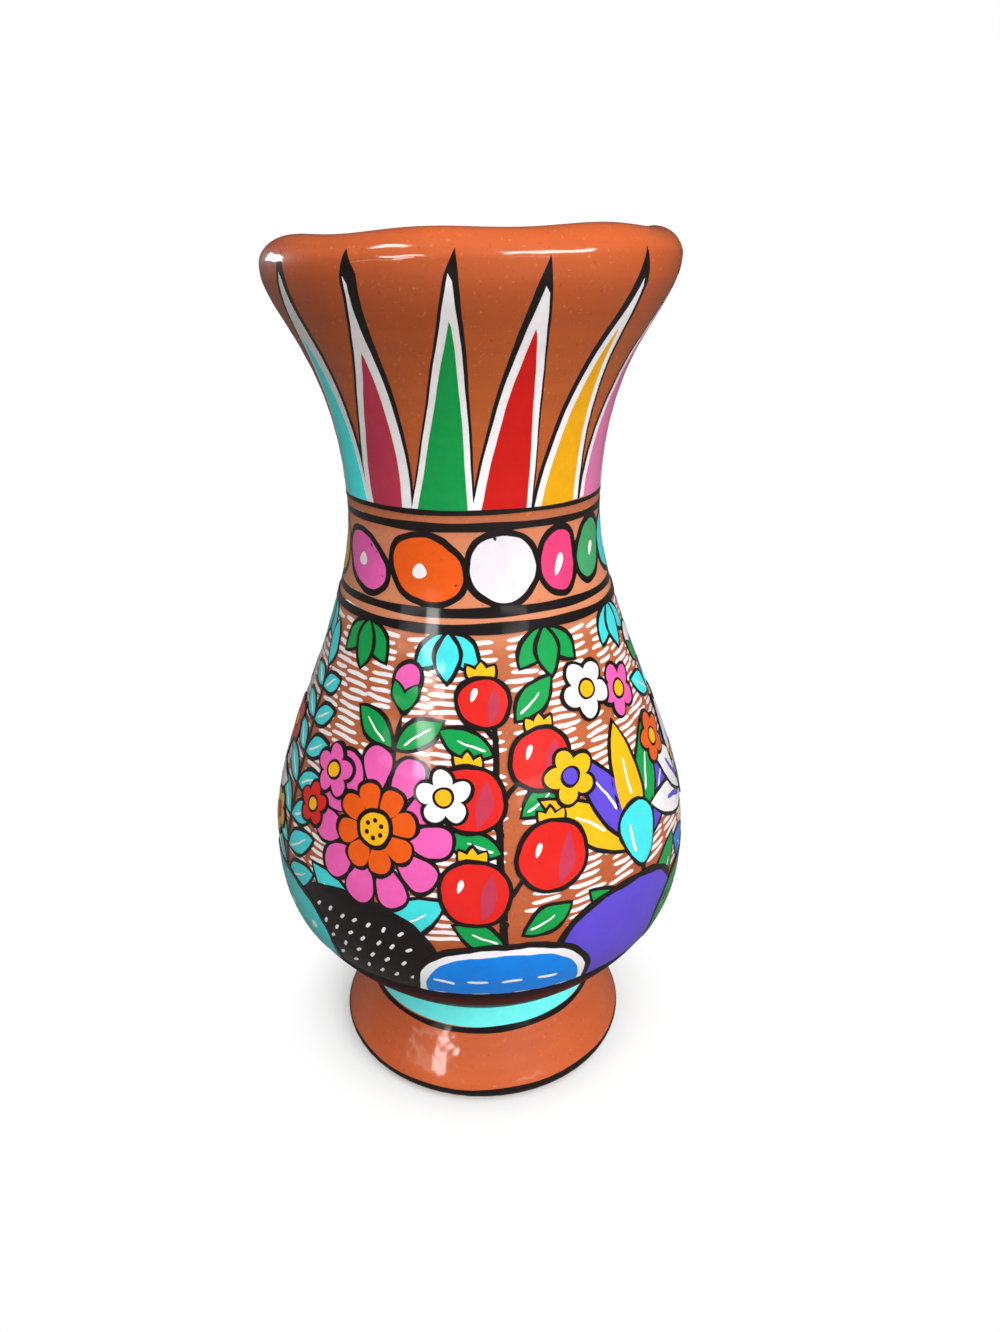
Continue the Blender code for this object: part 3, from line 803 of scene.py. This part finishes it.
def paint_lines():
    brush_line("spike_line_paint", 222.1 * MM, 223.6 * MM, "spike_base_line", first_lift=0.20)
    brush_line("collar_upper_paint", 217.0 * MM, 219.6 * MM, "collar_upper_line")
    brush_line("collar_lower_paint", 191.0 * MM, 193.8 * MM, "collar_lower_line")
    brush_line("shoulder_line_paint", 186.1 * MM, 189.1 * MM, "shoulder_line", first_lift=0.42)
    # Dull near-black band round the lower belly, from 44.5 to 69.5 mm
    brush_line("belly_base_paint", 44.5 * MM, 69.5 * MM, "belly_base_band", paint="near_black")
    brush_line("waist_line_paint", 24.3 * MM, 26.1 * MM, "waist_line")
    brush_line("foot_line_paint", 2.0 * MM, 7.2 * MM, "foot_line", wander=0.12, spacing=0.3)


# The painted garden

PLANTS = 10
PLANT_STEP = 2 * math.pi / PLANTS
FIRST_PLANT = math.radians(9.0)
SOIL = 80 * MM
HILL_FOOT = 68.8 * MM
HILL_RADIUS = 75 * MM


def leaf_pair(leaves, colour, place, up, length, width, spread, across=0.0):
    """Two leaves on either side of a stalk, each with a pale vein."""
    for way in (-1.0, 1.0):
        turn = -way * (spread + jitter(0.08))
        root = (across + way * 1.0, up)
        leaves.edged("leaf", colour, 6, place, (width, length), root, turn, way * 1.5)
        vein = (root[0] + way * length * 0.14, up + 1.0)
        leaves.lay("stalk", "white", 10, place, (0.9, length * 0.62), vein, turn)


def blossom(heads, place, spot, petals, heart, size, level=14):
    """A small round blossom of five petals."""
    start = jitter(0.6)
    for layer, colour in ((0, "black"), (2, petals)):
        grow = 1.2 if layer == 0 else 0.0
        for index in range(5):
            turn = start + index * 2 * math.pi / 5
            middle = (spot[0] - size * math.sin(turn), spot[1] + size * math.cos(turn))
            petal_size = (size * 0.62 + grow, size * 0.70 + grow)
            heads.lay("disc", colour, level + layer, place, petal_size, middle, turn)
    heads.edged("disc", heart, level + 4, place, (size * 0.5, size * 0.5), spot, rim=0.9)


def bud(heads, place, spot, colour, size, turn=0.0):
    """A closed bud in a green cup."""
    heads.edged("petal", colour, 14, place, (size * 0.95, size * 1.5), spot, turn)
    for lean in (0.42, -0.42):
        heads.edged("leaf", "green", 18, place, (size * 0.42, size * 0.95), spot, turn + lean, rim=0.9)


def ring_of_petals(heads, place, spot, colour, level, count, inner, length, width, start=0.0):
    """Petals standing out from a centre, all edges first so that the fills stay whole."""
    for layer, paint in ((0, "black"), (2, colour)):
        grow = 1.3 if layer == 0 else 0.0
        for index in range(count):
            turn = start + index * 2 * math.pi / count
            root = inner - grow
            foot = (spot[0] - root * math.sin(turn), spot[1] + root * math.cos(turn))
            heads.lay("petal", paint, level + layer, place, (width + 2 * grow, length + 2 * grow), foot, turn)


def dahlia(stalks, leaves, heads, place, petals, inner, heart):
    """A round double flower on a stout stalk, with a bud above it."""
    stalks.lay("stalk", "black", 3, place, (3.0, 92), (0.0, -6.0), bend=4.0)
    leaf_pair(leaves, "turquoise", place, 10, 30, 12, 1.0)
    leaf_pair(leaves, "green", place, 74, 17, 8, 0.9, 2.5)
    centre = (0.0, 47.0)
    ring_of_petals(heads, place, centre, petals, 12, 11, 12.0, 14.5, 12.0, 0.1)
    ring_of_petals(heads, place, centre, inner, 16, 8, 4.6, 10.2, 9.2, 0.3)
    heads.edged("disc", heart, 20, place, (5.4, 5.4), centre)
    for index in range(6):
        turn = index * math.pi / 3
        heads.lay("disc", "black", 24, place, (0.8, 0.8), (2.9 * math.sin(turn), 47.0 + 2.9 * math.cos(turn)))
    bud(heads, place, (4.0, 86.0), petals, 10.0)


def tulip(stalks, leaves, heads, place, stripes, cup):
    """A flower of striped blades spread like a fan over two broad leaves."""
    stalks.lay("stalk", "black", 3, place, (3.2, 50), (0.0, -6.0))
    leaf_pair(leaves, "green", place, 2, 32, 12, 0.75)
    fan = (-0.92, 0.92, -0.46, 0.46, 0.0)
    for index, turn in enumerate(fan):
        heads.edged("leaf", stripes[index], 12 + 2 * index, place, (12.5, 43.0), (0.0, 32.0), turn)
        tip = (-18.0 * math.sin(turn), 32.0 + 18.0 * math.cos(turn))
        heads.lay("stalk", "white", 16 + 2 * index, place, (1.2, 13.0), tip, turn)
    heads.edged("petal", cup, 26, place, (20.0, 21.0), (0.0, 26.0))
    heads.lay("stalk", "white", 30, place, (1.4, 10.0), (-3.4, 31.0), 0.1)
    blossom(heads, place, (-7.0, 89.0), "white", "yellow", 5.6, 22)
    blossom(heads, place, (8.5, 84.0), "pink", "yellow", 5.2)


def fern(stalks, leaves, place, colour):
    """A tall frond of paired leaflets."""
    stalks.lay("stalk", "black", 3, place, (2.8, 100), (0.0, -6.0), bend=-3.0)
    for pair in range(7):
        leaf_pair(leaves, colour, place, 12 + 11.8 * pair, 21.0 - 1.6 * pair, 8.4 - 0.35 * pair, 0.98,
                  -3.0 * (0.18 + 0.12 * pair) ** 2)
    leaves.edged("leaf", colour, 6, place, (6.8, 15.0), (-2.8, 91.0), 0.05)


# Fruits of a branch: across, up and radius in mm; its leaves: across, up and turn
FRUITS = ((-12.5, 30.0, 10.6), (13.0, 40.0, 11.2), (-12.0, 60.0, 10.2), (11.0, 71.0, 9.4), (-6.0, 90.0, 7.6))
FRUIT_LEAVES = ((3.0, 15.0, -1.1), (-4.0, 43.0, 1.25), (4.0, 54.0, -1.0),
                (-4.5, 74.0, 1.15), (4.0, 84.0, -0.8), (-4.0, 11.0, 1.1))


def fruit_branch(stalks, leaves, heads, place, skin, shade_side):
    """A leaning branch with crowned fruits, each on its own short stalk."""
    stalks.lay("stalk", "black", 3, place, (3.0, 104), (-3.0, -6.0), 0.04, bend=5.0)
    for x, y, size in FRUITS:
        stalks.lay("stalk", "black", 3, place, (2.0, 13.0), (-2.0, y - 12.0), -math.copysign(0.75, x))
        for turn in (-0.6, 0.6, 0.0):
            heads.edged("leaf", "yellow", 18, place, (3.6, 7.4), (x, y + size * 0.74), turn, rim=1.0)
        heads.edged("disc", skin, 23, place, (size, size * 0.96), (x, y))
        shadow = (x + size * 0.15, y - size * 0.86)
        heads.lay("leaf", shade_side, 28, place, (size * 0.5, size * 1.5), shadow, -0.45, -size * 0.3)
        heads.lay("petal", "white", 28, place, (2.2, 4.6), (x - size * 0.5, y + size * 0.05), -0.4)
    for x, y, turn in FRUIT_LEAVES:
        leaves.edged("leaf", "green", 6, place, (8.0, 17.0), (x, y), turn)
        vein = (x - 2.0 * math.sin(turn), y + 2.0 * math.cos(turn))
        leaves.lay("stalk", "white", 10, place, (0.9, 9.0), vein, turn)


def lily(stalks, leaves, heads, place, petals, throat):
    """A white lily with long blades and yellow stamens."""
    stalks.lay("stalk", "black", 3, place, (3.0, 92), (0.0, -6.0), bend=-4.0)
    leaf_pair(leaves, "blue", place, 6, 28, 12, 0.9)
    leaf_pair(leaves, "teal", place, 74, 16, 8, 0.95, -2.0)
    for turn in (-1.25, 1.25, -0.66, 0.66, 0.0):
        level = 18 + int(8 * (1.3 - abs(turn)))
        heads.edged("leaf", petals, level, place, (12.0, 37.0), (0.0, 31.0), turn)
        line = (-7.0 * math.sin(turn), 31.0 + 7.0 * math.cos(turn))
        heads.lay("stalk", throat, level + 4, place, (2.6, 17.0), line, turn)
    for turn in (-0.34, 0.0, 0.34):
        heads.lay("stalk", "black", 34, place, (0.9, 13.0), (0.0, 34.0), turn)
        tip = (-13.0 * math.sin(turn), 34.0 + 13.0 * math.cos(turn))
        heads.edged("disc", "yellow", 37, place, (1.5, 1.9), tip, rim=0.7)
    heads.edged("petal", "green", 37, place, (8.0, 8.5), (0.0, 29.5))
    bud(heads, place, (-4.0, 86.0), petals, 9.5)


HILLS = ("blue", "purple", "green", "coral", "turquoise", "purple", "blue", "coral", "turquoise", "black")
# Marks on a hill of each colour: shape, paint, level, size in mm, turn, wobble, rows, every how many columns
HILL_MARKS = {
    "black": ("dash", "white", 5, (2.6, 1.1), 0.9, 0.3, (0, 1, 2, 3), 1),
    "blue": ("dash", "white", 7, (7.0, 1.2), 0.0, 0.2, (1, 3), 2),
    "green": ("dash", "black", 5, (4.8, 1.2), 0.5, 0.2, (0, 1, 2, 3), 2),
    "coral": ("dash", "black", 5, (7.0, 1.4), 0.0, 0.1, (1, 3), 2),
    "turquoise": ("disc", "white", 5, (1.5, 1.5), 0.0, 0.0, (1, 3), 3),
}


def paint_hills():
    """A ring of low hills that the plants stand behind, each with its own marks."""
    hills = Coat("painted_hills")
    for index, colour in enumerate(HILLS):
        angle = index * PLANT_STEP + math.radians(jitter(2.0) + 5.0)
        level = 12 if index % 2 else 20
        place = (angle, HILL_FOOT)
        wide = 57.0 + jitter(3.0)
        tall = 28.0 + (6.0 if index % 2 else -5.0) + jitter(2.0)
        layers = ((0, "black", 2.2), (2, colour, 0.0))
        if colour == "blue":
            layers = ((0, "black", 2.2), (2, "white", 0.0), (4, "blue", -2.4))
        for step, paint, grow in layers:
            size = (wide + 2 * grow, tall + grow)
            hills.lay("hump", paint, level + step, place, size, fixed=HILL_RADIUS)
        for row in range(4):
            for column in range(-4, 5):
                x = column * 5.6 + (2.8 if row % 2 else 0.0) + jitter(0.5)
                y = tall - 8.0 - row * 6.0 + jitter(0.5)
                outside = y < 3.0 or abs(x) > wide * (0.42 - 0.30 * max(y / tall - 0.55, 0.0))
                if outside or colour not in HILL_MARKS:
                    continue
                shape, paint, step, size, turn, wobble, rows, every = HILL_MARKS[colour]
                if row not in rows or column % every:
                    continue
                if wobble:
                    turn += jitter(wobble)
                hills.lay(shape, paint, level + step, place, size, (x, y), turn, fixed=HILL_RADIUS)
    hills.dry("turquoise")


# Stacks of strokes at each plant: share of the way to the next, lowest, highest and length in mm
HATCH_STACKS = ((0.5, 14.0, 110.0, 16.0), (0.19, 24.0, 110.0, 13.0), (-0.19, 24.0, 110.0, 13.0))


def paint_hatching():
    """Stacks of short white strokes on the bare clay between the plants."""
    hatch = Coat("painted_hatching")
    for index in range(PLANTS):
        for side, low, high, length in HATCH_STACKS:
            angle = FIRST_PLANT + (index + side) * PLANT_STEP
            y = low + jitter(1.5)
            while y < high:
                size = (length * (1.0 - 0.0035 * y) + jitter(2.4), 1.5)
                hatch.lay("dash", "white", 0, (angle, SOIL), size, (jitter(1.3), y), 0.03 + jitter(0.06))
                y += 2.6 + jitter(0.2)
    hatch.dry("white")


def paint_garden():
    stalks = Coat("painted_stalks")
    leaves = Coat("painted_leaves")
    heads = [Coat(f"painted_flowers_{index + 1}") for index in range(PLANTS)]
    small = Coat("painted_blossoms")
    for index in range(PLANTS):
        place = (FIRST_PLANT + index * PLANT_STEP + math.radians(jitter(1.5)), SOIL)
        kind = index % 5
        second = index >= 5
        head = heads[index]
        if kind == 0:
            skin, shade_side = ("orange", "scarlet") if second else ("red", "crimson")
            fruit_branch(stalks, leaves, head, place, skin, shade_side)
        elif kind == 1:
            tulip(stalks, leaves, head, place, ("purple", "yellow", "green", "purple", "yellow"), "turquoise")
        elif kind == 2:
            lily(stalks, leaves, head, place, "white", "rose" if second else "purple")
        elif kind == 3:
            fern(stalks, leaves, place, "turquoise" if second else "green")
            blossom(head, place, (-14.0, 30.0), "yellow", "red", 4.6, 30)
            blossom(head, place, (14.0, 46.0), "red", "yellow", 4.4, 30)
        else:
            outer, inner = ("pink", "orange") if second else ("yellow", "red")
            dahlia(stalks, leaves, head, place, outer, inner, "yellow")
        between = (place[0] + PLANT_STEP / 2, SOIL)
        hanging = ("green", "turquoise")[index % 2]
        for turn, level in ((math.pi - 0.7, 4), (math.pi + 0.7, 4), (math.pi, 12)):
            leaves.edged("leaf", hanging, level, between, (6.8, 15.0), (0.0, 111.5), turn)
        petals = ("yellow", "pink", "orange", "white", "red")[(index * 2) % 5]
        heart = "purple" if petals == "yellow" else "yellow"
        blossom(small, between, (jitter(1.5), 62.0 + jitter(3.0)), petals, heart, 5.2, 30)
    stalks.dry("black")
    leaves.dry("green")
    small.dry("pink")
    for index, head in enumerate(heads):
        head.dry(("red", "yellow", "white", "yellow", "pink")[index % 5])


# Stage

PITCH = math.radians(22.79)
ROLL = math.radians(-1.10)
CAMERA_BACK = 0.3239
CAMERA_HEIGHT = 0.2916
LENS = 25.85
SIDE_SHIFT = 0.0176


class Lamp(NamedTuple):
    """A lamp turned to the vase, in degrees, metres and watts; a glint shows in the varnish only."""

    name: str
    bearing: float
    rise: float
    tilt: float
    away: float
    width: float
    height: float
    power: float
    glint: bool


LAMPS = (
    Lamp("ceiling", 10.0, 66.0, 0.0, 1.3, 1.0, 0.9, 11.2, False),
    Lamp("right_key", 34.0, 24.0, 0.0, 1.5, 1.2, 0.8, 15.4, False),
    Lamp("front_fill", 12.0, 9.0, 0.0, 1.8, 1.6, 1.2, 6.4, False),
    Lamp("right_window", 42.0, 26.5, -12.0, 1.5, 1.20, 0.27, 17.0, True),
    Lamp("left_window", -35.0, 18.5, 0.0, 1.5, 0.62, 0.15, 4.2, True),
    Lamp("left_door", -34.0, 11.0, 0.0, 1.5, 0.26, 0.14, 1.1, True),
    Lamp("left_wall", -48.0, 8.0, 0.0, 1.5, 0.75, 0.08, 0.3, True),
    Lamp("right_wall", 31.0, 9.2, 0.0, 4.0, 1.45, 0.18, 1.6, True),
    Lamp("left_skylight", -58.0, 53.0, 0.0, 1.5, 0.45, 0.22, 5.0, True),
    Lamp("far_left_window", -126.0, 14.0, 0.0, 1.5, 0.55, 0.26, 8.0, True),
)
LAMP_AIM = Vector((0.0, 0.0, 0.2))


def lay_floor():
    """A white floor to the camera, that keeps the shadow near the foot and is darker in the varnish."""
    bpy.ops.mesh.primitive_plane_add(size=12.0, location=(0.0, 0.0, -0.0002))
    floor = bpy.context.object
    floor.name = "studio_floor"
    finish = Finish("studio_floor")
    far = finish.node("VectorMath", {"operation": "LENGTH"}, {0: finish.place}, out="Value")
    seen = finish.node("LightPath", out="Is Camera Ray")
    mirrored = finish.node("LightPath", out="Is Glossy Ray")
    ground = finish.mix(mirrored, light(150, 146, 142), light(112, 108, 104))
    finish.set(Base_Color=finish.mix(seen, ground, light(252, 252, 252)))
    finish.set(Roughness=0.9, Specular_IOR_Level=0.1)
    glow = finish.node("Emission", {}, {"Color": (1.0, 1.0, 1.0, 1.0), "Strength": 1.0})
    fade = ((far - 0.045) * 26.0).clamped() * seen
    own = Field(finish, finish.shader.outputs[0])
    blend = finish.node("MixShader", {}, {0: fade, 1: own, 2: glow})
    finish.feed(finish.tree.nodes["Material Output"].inputs["Surface"], blend)
    floor.data.materials.append(finish.material)


def light_room():
    """Plain light all round, white to the camera and dim in the varnish."""
    world = bpy.data.worlds.new("studio")
    bpy.context.scene.world = world
    world.use_nodes = True
    tree = world.node_tree
    room = tree.nodes["Background"]
    dim = tree.nodes.new("ShaderNodeBackground")
    shown = tree.nodes.new("ShaderNodeBackground")
    for glow, strength in ((room, 0.50), (dim, 0.06), (shown, 1.0)):
        glow.inputs["Color"].default_value = (1.0, 1.0, 1.0, 1.0)
        glow.inputs["Strength"].default_value = strength
    ray = tree.nodes.new("ShaderNodeLightPath")
    mirror = tree.nodes.new("ShaderNodeMixShader")
    direct = tree.nodes.new("ShaderNodeMixShader")
    blends = ((mirror, "Is Glossy Ray", room, dim), (direct, "Is Camera Ray", mirror, shown))
    for blend, kind, low, high in blends:
        for index, socket in enumerate((ray.outputs[kind], low.outputs[0], high.outputs[0])):
            tree.links.new(socket, blend.inputs[index])
    tree.links.new(direct.outputs[0], tree.nodes["World Output"].inputs["Surface"])


def hang_lamps():
    for lamp in LAMPS:
        rise = math.radians(lamp.rise)
        side = math.radians(lamp.bearing)
        flat = lamp.away * math.cos(rise)
        way = Vector((flat * math.sin(side), -flat * math.cos(side), lamp.away * math.sin(rise)))
        bpy.ops.object.light_add(type="AREA", location=LAMP_AIM + way)
        lit = bpy.context.object
        lit.name = lamp.name
        lit.data.shape = "RECTANGLE"
        lit.data.size = lamp.width
        lit.data.size_y = lamp.height
        lit.data.energy = lamp.power
        roll = Quaternion((0.0, 0.0, 1.0), math.radians(lamp.tilt))
        lit.rotation_euler = ((-way).to_track_quat("-Z", "Y") @ roll).to_euler()
        lit.visible_diffuse = not lamp.glint
        lit.visible_glossy = lamp.glint


def place_camera():
    bpy.ops.object.camera_add(location=(0.0, -CAMERA_BACK, CAMERA_HEIGHT))
    camera = bpy.context.object
    level = Matrix.Rotation(math.pi / 2 - PITCH, 3, "X")
    camera.rotation_euler = (level @ Matrix.Rotation(ROLL, 3, "Z")).to_euler()
    camera.data.lens = LENS
    camera.data.sensor_width = 36.0
    camera.data.shift_x = SIDE_SHIFT
    camera.data.clip_start = 0.01
    bpy.context.scene.camera = camera


def set_stage():
    bpy.context.scene.view_settings.view_transform = "Standard"
    lay_floor()
    light_room()
    hang_lamps()
    place_camera()


throw_foot()
throw_waist()
throw_belly()
throw_neck()
throw_neck_coil()
throw_rim()
paint_lines()
paint_spikes()
paint_dots()
paint_hatching()
paint_hills()
paint_garden()
set_stage()
